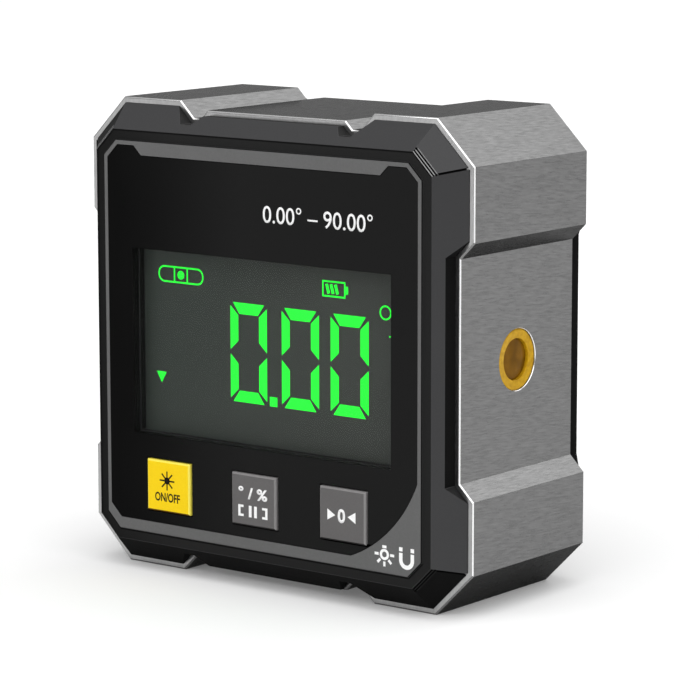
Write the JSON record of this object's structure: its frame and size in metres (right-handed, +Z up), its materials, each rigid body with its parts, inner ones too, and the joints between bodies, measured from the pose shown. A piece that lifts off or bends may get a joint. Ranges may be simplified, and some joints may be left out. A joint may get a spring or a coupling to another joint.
{
  "type": "digital level box",
  "caption": "Square digital angle gauge with a metal frame, sloping black covers, LCD, push keys, a side laser aperture and a rear battery door on a hinge.",
  "frame": {"origin": "middle of the object's bounding box, on the plane its lower blocks stand on", "axes": "+Z up, +X to the right of someone who reads the display, +Y from the display to the back"},
  "size_m": [0.06, 0.0306, 0.06],
  "materials": {
    "frame_aluminium": "brushed, cut edges bright",
    "case_plastic": "satin moulded",
    "trim_plastic": "satin grey",
    "panel_acrylic": "gloss black",
    "clear_acrylic": "clear gloss",
    "lcd_glass": "dark display",
    "white_plastic": "satin",
    "strip_rubber": "matte",
    "yellow_key": "satin moulded",
    "grey_key": "satin moulded",
    "switch_plastic": "matte",
    "board_laminate": "solder mask",
    "chip_plastic": "matte",
    "gold_ring": "gold anodised",
    "amber_lens": "amber window",
    "laser_brass": "turned",
    "cell_sleeve": "printed sleeve",
    "contact_steel": "nickel plated",
    "screw_steel": "zinc plated",
    "magnet_nickel": "nickel plated"
  },
  "bodies": {
    "case": {"frame": "frame_aluminium", "front_bezel": "case_plastic", "trim_ring": "trim_plastic", "display_panel": "panel_acrylic", "display_window": "clear_acrylic", "lcd_glass": "lcd_glass", "lcd_holder": "white_plastic", "backlight_guide": "white_plastic", "backlight_led_upper": "white_plastic", "backlight_led_lower": "white_plastic", "contact_strip": "strip_rubber", "power_switch": "switch_plastic", "hold_switch": "switch_plastic", "zero_switch": "switch_plastic", "main_board": "board_laminate", "controller_chip": "chip_plastic", "tilt_sensor": "chip_plastic", "aperture_ring": "gold_ring", "laser_lens": "amber_lens", "laser_module": "laser_brass", "laser_holder": "case_plastic", "rear_cover": "case_plastic", "battery_cell_left": "cell_sleeve", "battery_cell_right": "cell_sleeve", "positive_contact": "contact_steel", "negative_contact": "contact_steel", "bridge_contact": "contact_steel", "rear_screw_1": "screw_steel", "rear_screw_2": "screw_steel", "rear_screw_3": "screw_steel", "rear_screw_4": "screw_steel", "board_screw_1": "screw_steel", "board_screw_2": "screw_steel", "board_screw_3": "screw_steel", "board_screw_4": "screw_steel", "side_magnet_1": "magnet_nickel", "side_magnet_2": "magnet_nickel", "side_magnet_3": "magnet_nickel", "side_magnet_4": "magnet_nickel", "top_magnet_left": "magnet_nickel", "top_magnet_right": "magnet_nickel", "base_magnet_left": "magnet_nickel", "base_magnet_right": "magnet_nickel"},
    "power_key": {"power_key": "yellow_key", "power_plunger": "switch_plastic"},
    "hold_key": {"hold_key": "grey_key", "hold_plunger": "switch_plastic"},
    "zero_key": {"zero_key": "grey_key", "zero_plunger": "switch_plastic"},
    "battery_door": {"battery_door": "case_plastic"}
  },
  "joints": [
    {"name": "power_key_press", "type": "slide", "parent": "case", "child": "power_key", "axis": [0, 1, 0], "range_m": [0, 0.0003], "stiffness_N_per_m": 150},
    {"name": "hold_key_press", "type": "slide", "parent": "case", "child": "hold_key", "axis": [0, 1, 0], "range_m": [0, 0.0003], "stiffness_N_per_m": 150},
    {"name": "zero_key_press", "type": "slide", "parent": "case", "child": "zero_key", "axis": [0, 1, 0], "range_m": [0, 0.0003], "stiffness_N_per_m": 150},
    {"name": "battery_door_hinge", "type": "hinge", "parent": "case", "child": "battery_door", "pos_m": [0, 0.01445, 0.0073], "axis": [-1, 0, 0], "range_deg": [0, 90]}
  ]
}
